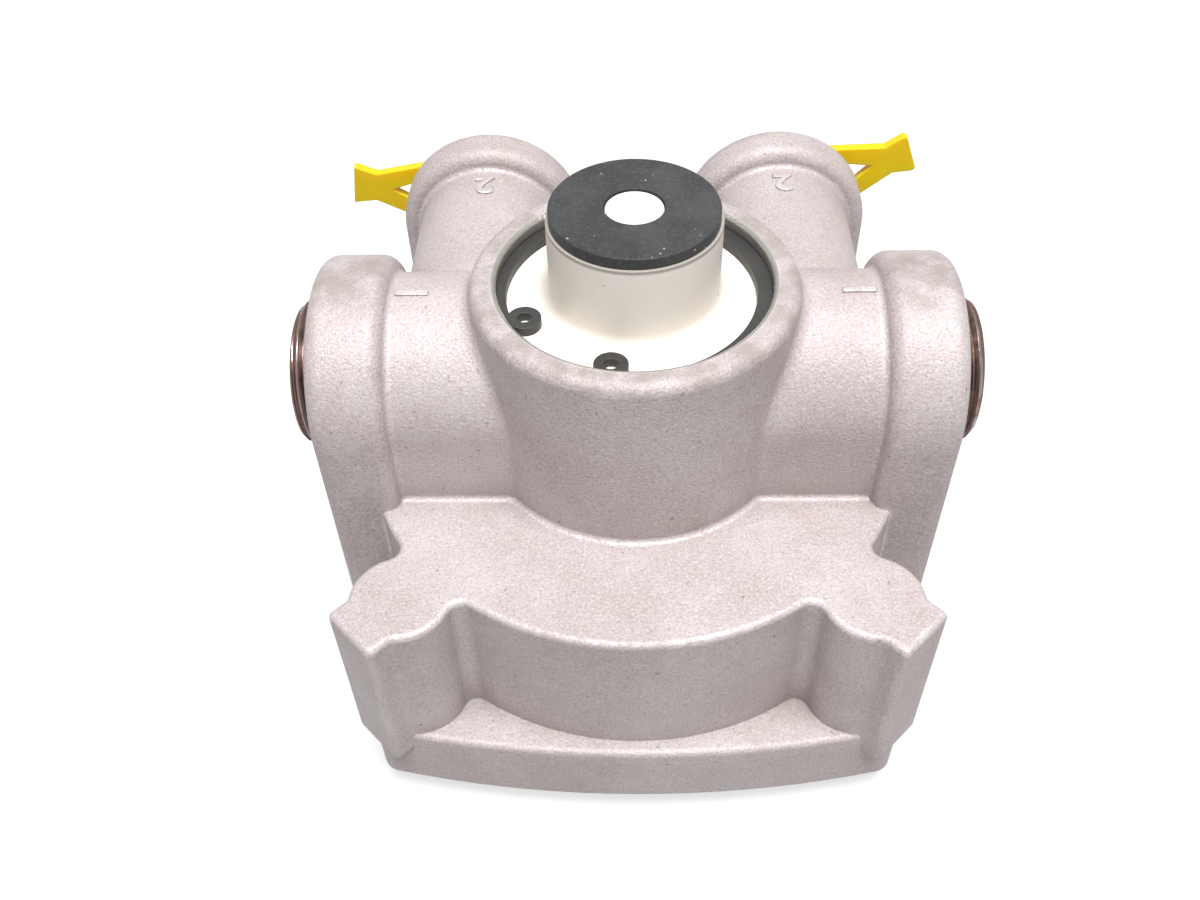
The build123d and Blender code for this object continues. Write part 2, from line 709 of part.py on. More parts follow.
retaining_ring.part.label = "retaining_ring"
export_step(retaining_ring.part, "parts/retaining_ring.step")

# Rubber flap over the drum's windows, recessed for the stud's head
head_seat_z = flap_top_z - stud_head_drop - stud_head_height
with BuildPart() as exhaust_flap:
    with BuildSketch(Plane.XY.offset(drum_top_z)):
        Circle(flap_radius)
    extrude(amount=flap_thickness)
    fillet(exhaust_flap.faces().sort_by(Axis.Z)[-1].edges(), flap_edge_radius)
    with BuildSketch(Plane.XY.offset(head_seat_z)):
        Circle(stud_head_radius + stud_clearance)
    extrude(amount=flap_thickness, mode=Mode.SUBTRACT)
    with BuildSketch(Plane.XY.offset(drum_top_z)):
        Circle(stud_radius + stud_clearance)
    extrude(amount=flap_thickness, mode=Mode.SUBTRACT)

exhaust_flap.part.label = "exhaust_flap"
export_step(exhaust_flap.part, "parts/exhaust_flap.step")

# Stud that snaps through the drum's hub and holds the flap
with BuildPart() as flap_stud:
    with BuildSketch(Plane.XY.offset(head_seat_z)):
        Circle(stud_head_radius)
    extrude(amount=stud_head_height)
    fillet(flap_stud.faces().sort_by(Axis.Z)[-1].edges(), stud_head_rounding)
    with BuildSketch(Plane.XY.offset(head_seat_z)):
        Circle(stud_radius)
    extrude(amount=-(head_seat_z - drum_top_z + drum_web))
    with BuildSketch(Plane.XY.offset(drum_top_z - drum_web)):
        Circle(stud_barb_radius)
    extrude(amount=-stud_barb_height)
    chamfer(flap_stud.faces().sort_by(Axis.Z)[0].edges(), stud_barb_radius - stud_radius)

flap_stud.part.label = "flap_stud"
export_step(flap_stud.part, "parts/flap_stud.step")

# Steel bushings in the supply ports
bushing_inner_x = supply_face_x - supply_port_depth
for side, node_name in ((-1, "supply_bushing_left"), (1, "supply_bushing_right")):
    with BuildPart() as supply_bushing:
        with BuildSketch(Plane.YZ.offset(side * bushing_inner_x)):
            with Locations((0, port_axis_z)):
                Circle(bushing_radius)
                Circle(bushing_bore_radius, mode=Mode.SUBTRACT)
        extrude(amount=side * (supply_port_depth + bushing_proud))
        rims = supply_bushing.faces().filter_by(Axis.X).edges()
        chamfer(rims.filter_by(lambda e: abs(e.radius - bushing_radius) < edge_tolerance), bushing_chamfer)
    supply_bushing.part.label = node_name
    export_step(supply_bushing.part, "parts/" + node_name + ".step")

# Pull plugs in the delivery ports, each with a forked tab
for side, node_name, tab_angle in (
    (-1, "delivery_plug_left", left_tab_angle),
    (1, "delivery_plug_right", right_tab_angle),
):
    tab_direction = (side * math.cos(math.radians(tab_angle)), 0, math.sin(math.radians(tab_angle)))
    port_centre = (side * delivery_offset, delivery_face_y, port_axis_z)
    plug_plane = Plane(origin=port_centre, x_dir=tab_direction, z_dir=(0, 1, 0))
    plug_radius = delivery_port_radius - plug_clearance
    with BuildPart() as delivery_plug:
        with BuildSketch(plug_plane):
            Circle(plug_radius)
        with BuildSketch(plug_plane.offset(-plug_insert_length)):
            Circle(plug_radius - plug_taper)
        loft()
        with BuildSketch(plug_plane.offset(-plug_insert_length)):
            Circle(plug_radius - plug_taper - plug_wall)
        extrude(amount=plug_insert_length, mode=Mode.SUBTRACT)
        with BuildSketch(plug_plane):
            Circle(plug_disc_radius)
        extrude(amount=plug_disc_thickness)
        slope = (plug_boss_radius - tab_neck_half_width) / tab_neck_u
        hole_base_half = plug_boss_radius - slope * plug_disc_radius - tab_leg_width
        with BuildSketch(plug_plane.offset(plug_disc_thickness)) as tab:
            with BuildLine():
                Polyline(
                    (0, plug_boss_radius),
                    (tab_neck_u, tab_neck_half_width),
                    (tab_end_u, tab_end_half_width),
                    (tab_end_u, -tab_end_half_width),
                    (tab_neck_u, -tab_neck_half_width),
                    (0, -plug_boss_radius),
                    close=True,
                )
            make_face()
            corners = tab.vertices().sort_by(lambda v: v.X * side)[-2:]
            fillet(corners, tab_corner_radius)
            Circle(plug_boss_radius)
            with BuildLine():
                Polyline(
                    (plug_disc_radius, hole_base_half),
                    (tab_hole_apex_u, 0),
                    (plug_disc_radius, -hole_base_half),
                    close=True,
                )
            make_face(mode=Mode.SUBTRACT)
        extrude(amount=tab_thickness)
    delivery_plug.part.label = node_name
    export_step(delivery_plug.part, "parts/" + node_name + ".step")
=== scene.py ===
# %% [markdown]
# # An air brake relay valve
#
# The valve is a grit-blasted aluminium casting on a round cover. It has two threaded steel supply bushings at its
# sides, two plugged delivery ports at the back, and an open top bore that shows a white exhaust cover under a
# rubber flap. The CAD model already has every piece at its real size, so this lesson dresses it: finishes for each
# metal, rubber and plastic, screw threads on the bushings, and plain port numbers cast into the barrels.
# The packed model is loaded first. Nothing in it is moved.

# %% Load the packed model
import math

import bmesh
import bpy
from mathutils import Matrix, Vector


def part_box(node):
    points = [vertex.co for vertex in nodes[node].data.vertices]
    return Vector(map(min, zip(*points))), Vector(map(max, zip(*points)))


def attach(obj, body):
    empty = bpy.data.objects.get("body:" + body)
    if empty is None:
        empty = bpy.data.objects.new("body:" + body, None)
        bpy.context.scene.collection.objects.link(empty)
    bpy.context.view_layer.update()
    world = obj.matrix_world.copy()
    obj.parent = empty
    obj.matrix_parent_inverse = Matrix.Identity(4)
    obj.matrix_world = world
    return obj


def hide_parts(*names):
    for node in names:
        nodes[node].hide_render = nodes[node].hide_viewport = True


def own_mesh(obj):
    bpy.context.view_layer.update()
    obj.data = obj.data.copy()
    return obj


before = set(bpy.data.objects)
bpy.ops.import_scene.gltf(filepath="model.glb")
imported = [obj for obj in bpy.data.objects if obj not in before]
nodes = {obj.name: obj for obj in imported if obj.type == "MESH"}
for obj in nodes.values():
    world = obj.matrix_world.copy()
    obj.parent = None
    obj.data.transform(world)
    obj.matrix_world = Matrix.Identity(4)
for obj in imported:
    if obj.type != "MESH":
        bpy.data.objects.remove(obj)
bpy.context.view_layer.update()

scene = bpy.context.scene
MM = 0.001

print("pieces from the CAD model:", len(nodes))

# %% [markdown]
# The valve stands on a white table, and the camera looks down on its top bore from close by, so the near lobes are
# drawn larger than the ports behind. A lens of about 35 mm, 0.25 m away, gives that perspective. The camera's three
# turns are written as angles and made into the three directions of its own axes, because a camera looks along -Z.

# %% Camera
CAMERA_PLACE = Vector((-1.06, -161.90, 213.29)) * MM
CAMERA_PITCH = math.radians(46.09)
CAMERA_YAW = math.radians(2.04)
CAMERA_ROLL = math.radians(-1.72)
LENS_MM = 35.27


def camera_axes(pitch, yaw, roll):
    """The camera's right, up and backward directions."""
    ahead = Vector((-math.sin(yaw) * math.cos(pitch), math.cos(yaw) * math.cos(pitch), -math.sin(pitch)))
    level_right = ahead.cross(Vector((0, 0, 1))).normalized()
    level_up = level_right.cross(ahead)
    right = level_right * math.cos(roll) + level_up * math.sin(roll)
    up = level_up * math.cos(roll) - level_right * math.sin(roll)
    return right, up, -ahead


camera_data = bpy.data.cameras.new("camera")
camera_data.lens = LENS_MM
camera_data.sensor_width = 36
camera_data.clip_start = 0.01
camera = bpy.data.objects.new("camera", camera_data)
right, up, back = camera_axes(CAMERA_PITCH, CAMERA_YAW, CAMERA_ROLL)
camera.matrix_world = Matrix.Translation(CAMERA_PLACE) @ Matrix((right, up, back)).transposed().to_4x4()
scene.collection.objects.link(camera)
scene.camera = camera

print("camera is", round((CAMERA_PLACE - Vector((0, 0, 0.05))).length, 3), "m from the middle of the valve")

# %% [markdown]
# Materials and Geometry Nodes are both networks of nodes, so one small class serves both: it adds a node, and feeds
# its inputs with numbers or with the outputs of other nodes.

# %% A network of nodes


class Network:
    """Nodes under construction, with short ways to add them and to do arithmetic."""

    def add(self, kind, outputs=0, settings=None, **inputs):
        node = self.tree.nodes.new(kind)
        for key, value in (settings or {}).items():
            setattr(node, key, value)
        for key, value in inputs.items():
            self.feed(node.inputs[key.replace("_", " ")], value)
        return node.outputs[outputs]

    def feed(self, socket, value):
        if isinstance(value, bpy.types.NodeSocket):
            self.tree.links.new(value, socket)
        else:
            socket.default_value = value

    def maths(self, operation, a, b=0.0, clamp=False):
        node = self.tree.nodes.new("ShaderNodeMath")
        node.operation = operation
        node.use_clamp = clamp
        self.feed(node.inputs[0], a)
        self.feed(node.inputs[1], b)
        return node.outputs[0]

    def span(self, value, low, high, start=0.0, end=1.0):
        """Spreads a value from start..end over low..high."""
        node = self.tree.nodes.new("ShaderNodeMapRange")
        for index, number in enumerate((value, start, end, low, high)):
            self.feed(node.inputs[index], number)
        return node.outputs[0]


print("a network can:", [n for n in vars(Network) if not n.startswith("_")])

# %% [markdown]
# A finish is a small network of shader nodes. Most need the same few parts: a noise that follows the object, a mask,
# a mix and a bump. With those as helpers, each finish below can be read as a recipe. Every pattern is in object
# coordinates, in metres, so a noise of scale 1000 has grains one millimetre across, and no piece needs unwrapping.

# %% Parts of a finish


class Finish(Network):
    """A material under construction."""

    def __init__(self, name, **constants):
        self.material = bpy.data.materials.new(name)
        self.material.use_nodes = True
        self.tree = self.material.node_tree
        self.shader = self.tree.nodes["Principled BSDF"]
        self.place = self.tree.nodes.new("ShaderNodeTexCoord").outputs["Object"]
        for socket, value in constants.items():
            self.shader.inputs[socket.replace("_", " ")].default_value = value

    def noise(self, scale, detail=2.0, roughness=0.5, stretch=None):
        place = self.place
        if stretch:
            place = self.add("ShaderNodeMapping", Vector=place, Scale=stretch)
        return self.add("ShaderNodeTexNoise", Vector=place, Scale=scale, Detail=detail, Roughness=roughness)

    def cells(self, scale):
        return self.add("ShaderNodeTexVoronoi", Vector=self.place, Scale=scale)

    def mask(self, value, low, high):
        """0 below low, 1 above high. With low above high it falls instead of rising."""
        rising = low < high
        node = self.tree.nodes.new("ShaderNodeMapRange")
        node.interpolation_type = "SMOOTHSTEP"
        self.feed(node.inputs["Value"], value)
        node.inputs["From Min"].default_value = low if rising else high
        node.inputs["From Max"].default_value = high if rising else low
        node.inputs["To Min"].default_value = 0.0 if rising else 1.0
        node.inputs["To Max"].default_value = 1.0 if rising else 0.0
        return node.outputs["Result"]

    def mix(self, share, a, b):
        node = self.tree.nodes.new("ShaderNodeMix")
        node.data_type = "RGBA"
        self.feed(node.inputs["Factor"], share)
        self.feed(node.inputs[6], a)
        self.feed(node.inputs[7], b)
        return node.outputs[2]

    def bump(self, height, depth_mm, below=None):
        node = self.tree.nodes.new("ShaderNodeBump")
        node.inputs["Distance"].default_value = depth_mm * MM
        self.feed(node.inputs["Height"], height)
        if below is not None:
            self.feed(node.inputs["Normal"], below)
        return node.outputs["Normal"]

    def edges(self, radius_mm, softest=0.985, sharpest=0.86):
        """Finds edges by comparing the face's direction with the one that a rounding of this radius gives."""
        rounded = self.add("ShaderNodeBevel", settings={"samples": 6}, Radius=radius_mm * MM)
        true = self.add("ShaderNodeNewGeometry", outputs="Normal")
        node = self.tree.nodes.new("ShaderNodeVectorMath")
        node.operation = "DOT_PRODUCT"
        self.feed(node.inputs[0], rounded)
        self.feed(node.inputs[1], true)
        return rounded, self.mask(node.outputs["Value"], softest, sharpest)

    def open_sky(self, reach_mm):
        """1 in the open, falling to 0 deep in a corner."""
        return self.add("ShaderNodeAmbientOcclusion", outputs="AO", settings={"samples": 6}, Distance=reach_mm * MM)

    def along(self, axis):
        """Distance from the origin along X, Y or Z, in metres."""
        return self.add("ShaderNodeSeparateXYZ", outputs=axis, Vector=self.place)

    def off_axis(self, aside, up, centre_mm=0.0):
        """Distance from an axis, given the distance to one side of it, the direction of the other and its place there."""
        rise = self.maths("SUBTRACT", self.along(up), centre_mm * MM)
        squares = [self.maths("MULTIPLY", length, length) for length in (aside, rise)]
        return self.maths("SQRT", self.maths("ADD", *squares))

    def wear(self, **sockets):
        for key, value in sockets.items():
            self.feed(self.shader.inputs[key.replace("_", " ")], value)
        return self.material


def grey(level, warmth=0.0):
    return (level * (1 + warmth), level, level * (1 - warmth), 1)


print("a finish can also:", [n for n in vars(Finish) if not n.startswith("_")])

# %% [markdown]
# The casting was blasted with grit, which leaves an even, matt, light grey skin, slightly warm, with a fine grain
# and a few dark pits. Handling has rubbed the outer edges bright: real wear, with a painted highlight on it. The
# inner corners get painted shade, with the dirt that gathers there. The edges are found by a Bevel node, and the
# corners by an ambient occlusion node. A rubbed edge is both brighter, partly as a painted highlight, and smoother,
# and a few small nicks sit on it. Handling has browned the rim most, and the back ends of the delivery ports carry
# brown blotches: dirt, with painted shade towards their back edges.
# The bore for the exhaust cover and the faces of the ports were machined after casting. They are told from the skin
# by their place: near the axis above the valve's middle, or in a disc at the very end of a supply or delivery port.

# %% Finish of the casting
BORE_WALL_MM = 24.7
SPOT_FACE_MM = 19.0
DELIVERY_SPOT_FACE_MM = 16.3
DELIVERY_OFFSET = 29.7 * MM
SUPPLY_FACE_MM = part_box("valve_body")[1][0] / MM
DELIVERY_FACE_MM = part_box("delivery_plug_left")[1][1] / MM - 3.8
RIM_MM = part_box("valve_body")[1][2] / MM
PORT_AXIS_MM = (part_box("supply_bushing_right")[0][2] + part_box("supply_bushing_right")[1][2]) / 2 / MM


def machined_places(f):
    """1 where a tool has cut the casting, 0 on the blasted skin."""
    across = f.off_axis(f.along("X"), "Y")
    bore = f.maths("MULTIPLY", f.mask(across, (BORE_WALL_MM + 0.1) * MM, BORE_WALL_MM * MM), f.mask(f.along("Z"), 0.070, 0.071))
    sideways = f.maths("ABSOLUTE", f.along("X"))
    supply_end = f.mask(sideways, (SUPPLY_FACE_MM - 0.15) * MM, (SUPPLY_FACE_MM - 0.05) * MM)
    supply_disc = f.mask(f.off_axis(f.along("Y"), "Z", PORT_AXIS_MM), (SPOT_FACE_MM + 0.1) * MM, SPOT_FACE_MM * MM)
    delivery_end = f.mask(f.along("Y"), (DELIVERY_FACE_MM - 0.15) * MM, (DELIVERY_FACE_MM - 0.05) * MM)
    off_port = f.off_axis(f.maths("SUBTRACT", sideways, DELIVERY_OFFSET), "Z", PORT_AXIS_MM)
    delivery_disc = f.mask(off_port, (DELIVERY_SPOT_FACE_MM + 0.1) * MM, DELIVERY_SPOT_FACE_MM * MM)
    supply_face = f.maths("MULTIPLY", supply_end, supply_disc)
    delivery_face = f.maths("MULTIPLY", delivery_end, delivery_disc)
    return f.maths("MAXIMUM", bore, f.maths("MAXIMUM", supply_face, delivery_face))


def tinted(tone, *factors):
    """A colour with its red, green and blue each scaled by a factor."""
    return tuple(c * k for c, k in zip(tone, factors)) + (1,)


def cast_finish(name, tone):
    f = Finish(name, Specular_IOR_Level=0.5)
    rounded = f.edges(0.5)[0]
    edge = f.edges(1.7, softest=0.992, sharpest=0.93)[1]
    sky = f.open_sky(11)
    grain = f.noise(2300, detail=2.0, roughness=0.6)
    clouds = f.noise(45, detail=3, roughness=0.6)
    blotches = f.noise(160, detail=3, roughness=0.65)
    pits = f.mask(f.noise(700, detail=1.5), 0.725, 0.77)
    scuffs = f.mask(f.noise(420, detail=4, roughness=0.7, stretch=(1, 1, 0.35)), 0.34, 0.56)
    cut = machined_places(f)

    skin = f.mix(f.mask(clouds, 0.3, 0.7), tinted(tone, 0.90, 0.88, 0.87), tinted(tone, 1.05, 1.06, 1.08))
    skin = f.mix(f.maths("MULTIPLY", f.mask(blotches, 0.48, 0.72), 0.35), skin, tinted(tone, 0.80, 0.77, 0.73))
    skin = f.mix(f.maths("MULTIPLY", f.mask(grain, 0.52, 0.68), 0.5), skin, tinted(tone, 1.38, 1.36, 1.36))
    skin = f.mix(f.maths("MULTIPLY", f.mask(grain, 0.48, 0.30), 0.5), skin, tinted(tone, 0.55, 0.53, 0.52))
    skin = f.mix(f.maths("MULTIPLY", pits, 0.55), skin, grey(0.14, 0.06))
    # Painted shade, with the dirt that gathers there: inner corners, found by ambient occlusion, darken to dark brown.
    skin = f.mix(f.maths("MULTIPLY", f.mask(sky, 0.72, 0.30), 0.55), skin, (0.165, 0.15, 0.13, 1))
    # Brown blotches: dirt from handling on the rim; on the back ends of the delivery ports, dirt with painted shade
    # towards their back edges.
    ends = f.maths("MAXIMUM", f.mask(f.along("Z"), (RIM_MM - 3.0) * MM, (RIM_MM - 0.8) * MM), f.mask(f.along("Y"), 0.0485, 0.0525))
    dirt_and_back_shade = f.maths("MULTIPLY", ends, f.mask(blotches, 0.34, 0.62))
    skin = f.mix(f.maths("MULTIPLY", dirt_and_back_shade, 0.55), skin, (0.30, 0.255, 0.235, 1))
    high = f.mask(f.along("Z"), 0.0225, 0.0260)
    # Rubbed edges: real wear, painted brighter as a painted highlight, and also smoother and more metallic.
    rub_and_highlight = f.maths("MULTIPLY", f.maths("MULTIPLY", edge, f.mask(sky, 0.5, 0.85)), f.maths("MULTIPLY", scuffs, high))
    skin = f.mix(f.maths("MULTIPLY", rub_and_highlight, 0.8), skin, grey(0.90, 0.01))
    nicks = f.maths("MULTIPLY", f.mask(f.cells(110), 0.17, 0.11), f.maths("MULTIPLY", f.mask(edge, 0.3, 0.6), high))
    skin = f.mix(nicks, skin, grey(0.95, 0.01))
    skin = f.mix(cut, skin, (0.46, 0.44, 0.41, 1))

    relief = f.bump(f.noise(330, detail=2), 0.10, below=rounded)
    relief = f.bump(grain, 0.15, below=relief)
    relief = f.bump(f.maths("SUBTRACT", 1.0, nicks), 0.25, below=relief)
    gloss = f.maths("SUBTRACT", f.span(rub_and_highlight, 0.54, 0.34), f.maths("MULTIPLY", cut, 0.24))
    metal = f.span(f.maths("MAXIMUM", rub_and_highlight, cut), 0.12, 0.8)
    return f.wear(Base_Color=skin, Roughness=gloss, Metallic=metal, Normal=relief)


CAST_TONE = (0.555, 0.492, 0.487)
cast_aluminium = cast_finish("cast_aluminium", CAST_TONE)
cover_aluminium = cast_finish("cast_cover", tuple(c * 0.96 for c in CAST_TONE))
print("cast finish nodes:", len(cast_aluminium.node_tree.nodes))

# %% [markdown]
# The rubber flap is a dark grey disc with a dry bloom and some lint. Rubber is never quite even, so a cloudy
# noise moves both its tone and its roughness, and a sparse field of cells gives the lint.

# %% Finishes of the rubbers


def rubber_finish(name, level, lint):
    f = Finish(name, Specular_IOR_Level=0.45)
    rounded, edge = f.edges(0.35)
    bloom = f.noise(120, detail=4, roughness=0.6)
    grain = f.noise(1900, detail=2)
    lint_mask = f.maths("MULTIPLY", f.mask(f.cells(560), 0.15, 0.07), f.mask(f.noise(260), 0.50, 0.60))
    skin = f.mix(f.mask(bloom, 0.3, 0.7), grey(level * 0.6, -0.04), grey(level * 1.35, -0.03))
    skin = f.mix(f.maths("MULTIPLY", f.mask(grain, 0.5, 0.7), 0.4), skin, grey(level * 2.6, -0.03))
    # Painted highlight: the edges are painted lighter than the rest of the rubber.
    skin = f.mix(f.maths("MULTIPLY", edge, 0.35), skin, grey(level * 2.4, 0.02))
    skin = f.mix(f.maths("MULTIPLY", lint_mask, lint), skin, grey(0.55, 0.02))
    relief = f.bump(grain, 0.07, below=rounded)
    return f.wear(Base_Color=skin, Roughness=f.span(bloom, 0.5, 0.68), Normal=relief)


flap_rubber = rubber_finish("flap_rubber", 0.036, 0.9)
seal_rubber = rubber_finish("seal_rubber", 0.03, 0.1)
print("rubbers:", flap_rubber.name, seal_rubber.name)

# %% [markdown]
# The exhaust cover is moulded in white acetal, which glows a little because light enters it, so it gets some
# subsurface scattering. Brown grit has settled on it, and its top edge, under the flap, is darkened with painted
# shade. The stud is a whiter plastic, and the pistons are greyer.

# %% Finishes of the white plastics


def acetal_finish(name, colour, dirt, scatter=0.12, flap_shade_from_mm=None):
    f = Finish(name, Specular_IOR_Level=0.45, Subsurface_Weight=scatter, Subsurface_Scale=0.0012)
    rounded, edge = f.edges(0.3)
    clouds = f.noise(70, detail=3)
    stains = f.mask(f.noise(150, detail=4, roughness=0.7), 0.60, 0.80)
    specks = f.maths("MULTIPLY", f.mask(f.cells(330), 0.15, 0.07), f.mask(f.noise(210), 0.58, 0.66))
    skin = f.mix(clouds, tuple(c * 0.95 for c in colour) + (1,), tuple(min(1, c * 1.04) for c in colour) + (1,))
    skin = f.mix(f.maths("MULTIPLY", stains, 0.45 * dirt), skin, (colour[0] * 0.78, colour[1] * 0.70, colour[2] * 0.55, 1))
    skin = f.mix(f.maths("MULTIPLY", specks, dirt), skin, (0.22, 0.14, 0.08, 1))
    # Painted shade: the top edge under the flap is darkened from the given height upwards.
    if flap_shade_from_mm:
        flap_shade = f.mask(f.along("Z"), flap_shade_from_mm * MM, (flap_shade_from_mm + 0.6) * MM)
        skin = f.mix(f.maths("MULTIPLY", flap_shade, 0.7), skin, (0.20, 0.17, 0.15, 1))
    relief = f.bump(f.noise(900, detail=2), 0.02, below=rounded)
    return f.wear(Base_Color=skin, Roughness=f.span(clouds, 0.36, 0.5), Normal=relief)


cover_acetal = acetal_finish("exhaust_cover_acetal", (1.0, 0.91, 0.83), 0.9, scatter=0.15, flap_shade_from_mm=99.4)
stud_plastic = acetal_finish("stud_plastic", (0.90, 0.89, 0.88), 0.6)
piston_acetal = acetal_finish("piston_acetal", (0.74, 0.73, 0.68), 0.3)
valve_acetal = acetal_finish("valve_acetal", (0.28, 0.28, 0.30), 0.2, scatter=0.02)
print("plastics:", [m.name for m in (cover_acetal, stud_plastic, piston_acetal, valve_acetal)])

# %% [markdown]
# Four kinds of steel are used. The retaining ring has a dark phosphate coat, the cover screws are black oxide, the
# springs are bare drawn wire, and the bushings are turned, with rust on the last turns of their threads. Turning marks
# run round the bushing's axis, so the noise that draws them is squeezed along X. How far a point is from that axis
# tells a crest from a root.

# %% Finishes of the steels


def coated_steel(name, level, shine):
    f = Finish(name, Metallic=0.5, Specular_IOR_Level=0.5)
    rounded, edge = f.edges(0.2)
    grain = f.noise(1500, detail=3)
    clouds = f.noise(180, detail=3)
    skin = f.mix(clouds, grey(level * 0.8), grey(level * 1.35, 0.03))
    skin = f.mix(f.maths("MULTIPLY", edge, 0.5), skin, grey(level * 3.2, 0.02))
    relief = f.bump(grain, 0.02, below=rounded)
    return f.wear(Base_Color=skin, Roughness=f.span(grain, shine, shine + 0.2), Normal=relief)


def bare_steel(name, level, rust, crest_mm=None, axis_height_mm=0.0):
    """Drawn or turned steel. With crest_mm, the thread's roots are dark and rust reddens it at its open end."""
    f = Finish(name)
    rounded, edge = f.edges(0.12)
    lines = f.noise(900, detail=3, stretch=(6.0, 0.25, 0.25) if crest_mm else None)
    patches = f.noise(230, detail=4, roughness=0.65)
    creeping = f.maths("MULTIPLY", f.mask(f.maths("ADD", patches, f.maths("MULTIPLY", lines, 0.3)), 0.62, 0.8), rust)
    skin = f.mix(lines, grey(level * 0.8, 0.01), grey(level * 1.15, 0.01))
    if crest_mm:
        out = f.off_axis(f.along("Y"), "Z", axis_height_mm)
        crest = f.mask(out, (crest_mm - 0.35) * MM, (crest_mm - 0.1) * MM)
        root = f.mask(out, (crest_mm - 0.3) * MM, (crest_mm - 0.75) * MM)
        skin = f.mix(root, skin, (0.11, 0.085, 0.078, 1))
        open_end = f.mask(f.maths("ABSOLUTE", f.along("X")), 0.0572, 0.0590)
        skin = f.mix(f.maths("MULTIPLY", open_end, f.span(crest, 0.5, 0.75)), skin, (0.24, 0.145, 0.13, 1))
    skin = f.mix(creeping, skin, (0.13, 0.055, 0.03, 1))
    relief = f.bump(f.maths("ADD", lines, creeping), 0.02, below=rounded)
    dull = f.maths("ADD", f.span(lines, 0.22, 0.36), f.maths("MULTIPLY", creeping, 0.5))
    return f.wear(Base_Color=skin, Roughness=dull, Metallic=f.span(creeping, 1.0, 0.2), Normal=relief)


phosphated_steel = coated_steel("phosphated_steel", 0.055, 0.38)
black_oxide_steel = coated_steel("black_oxide_steel", 0.03, 0.3)
spring_wire = bare_steel("spring_wire", 0.5, 0.2)
bushing_steel = bare_steel("bushing_steel", 0.34, 0.8, crest_mm=13.33, axis_height_mm=PORT_AXIS_MM)
print("steels:", [m.name for m in (phosphated_steel, black_oxide_steel, spring_wire, bushing_steel)])

# %% [markdown]
# The delivery ports are closed by yellow shipping plugs of soft polyethylene, which is waxy and slightly
# translucent. A long, low noise gives the flow marks of the moulding, and a little scattering gives the glow.

# %% Finish of the yellow plugs
f = Finish("yellow_polyethylene", Specular_IOR_Level=0.35, Subsurface_Weight=0.5, Subsurface_Scale=0.006)
flow = f.noise(90, detail=3, stretch=(1, 1, 2.5))
skin = f.mix(flow, (1.0, 0.58, 0.0, 1), (1.0, 0.72, 0.0, 1))
scratches = f.mask(f.noise(500, detail=3, stretch=(0.2, 1, 1)), 0.62, 0.7)
skin = f.mix(f.maths("MULTIPLY", scratches, 0.18), skin, (1.0, 0.78, 0.20, 1))
relief = f.bump(f.noise(600, detail=2), 0.03, below=f.edges(0.3)[0])
yellow_plastic = f.wear(Base_Color=skin, Roughness=f.span(flow, 0.32, 0.46), Normal=relief)
print("plug finish:", yellow_plastic.name)

# %% [markdown]
# Each CAD piece keeps its shape and takes its finish by name. A dictionary shows at a glance what is made of what.

# %% Give every CAD piece its finish
FINISH_OF = {
    "valve_body": cast_aluminium,
    "cover": cover_aluminium,
    "cover_seal": seal_rubber,
    "cover_screws": black_oxide_steel,
    "relay_piston": piston_acetal,
    "piston_seal": seal_rubber,
    "piston_spring": spring_wire,
    "inlet_exhaust_valve": valve_acetal,
    "valve_face": seal_rubber,
    "valve_face_band": spring_wire,
    "valve_spring_seat": piston_acetal,
    "valve_spring": spring_wire,
    "exhaust_cover": cover_acetal,
    "exhaust_cover_seal": seal_rubber,
    "valve_stem_seal": seal_rubber,
    "stem_seal_washer": spring_wire,
    "retaining_ring": phosphated_steel,
    "exhaust_flap": flap_rubber,
    "flap_stud": stud_plastic,
    "supply_bushing_left": bushing_steel,
    "supply_bushing_right": bushing_steel,
    "delivery_plug_left": yellow_plastic,
    "delivery_plug_right": yellow_plastic,
}


def dress(node_name, material):
    piece = nodes[node_name]
    if not piece.data.materials:
        piece.data.materials.append(material)
    for index in range(len(piece.material_slots)):
        piece.material_slots[index].material = material


for node_name in nodes:
    dress(node_name, FINISH_OF[node_name])
print("dressed:", len(nodes), "pieces")

# %% [markdown]
# Two coil springs are squeezed when the valve works. Each gets a copy of its CAD mesh, which goes on the moving
# body in place of the CAD node.


def squeezed_spring(node_name, body):
    """Stands for a spring's CAD node, as a copy of its mesh on the moving body."""
    mesh = nodes[node_name].data.copy()
    work = bmesh.new()
    work.from_mesh(mesh)
    bmesh.ops.remove_doubles(work, verts=work.verts, dist=0.01 * MM)
    bmesh.ops.recalc_face_normals(work, faces=work.faces)
    work.to_mesh(mesh)
    work.free()
    spring = bpy.data.objects.new("squeezed_" + node_name, mesh)
    scene.collection.objects.link(spring)
    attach(spring, body)
    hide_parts(node_name)
    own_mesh(spring)


squeezed_spring("piston_spring", "piston")
squeezed_spring("valve_spring", "valve")

# %% [markdown]
# Each supply port holds a steel bushing with a 3/4 inch pipe thread outside and a 1/2 inch pipe thread inside. A
# thread follows a rule: how far its surface is from the axis depends only on how far along and how far round a point
# is. So a bushing is one grid of points. Its rows run out along the outer thread, over the end, back along the inner
# thread and over the other end, and each row goes once round the axis. Geometry Nodes works out both numbers from a
# point's index, and the sizes are named inputs, so that the same tree also cuts the threads of the ports below.

# %% A tree that cuts a thread inside and outside a sleeve


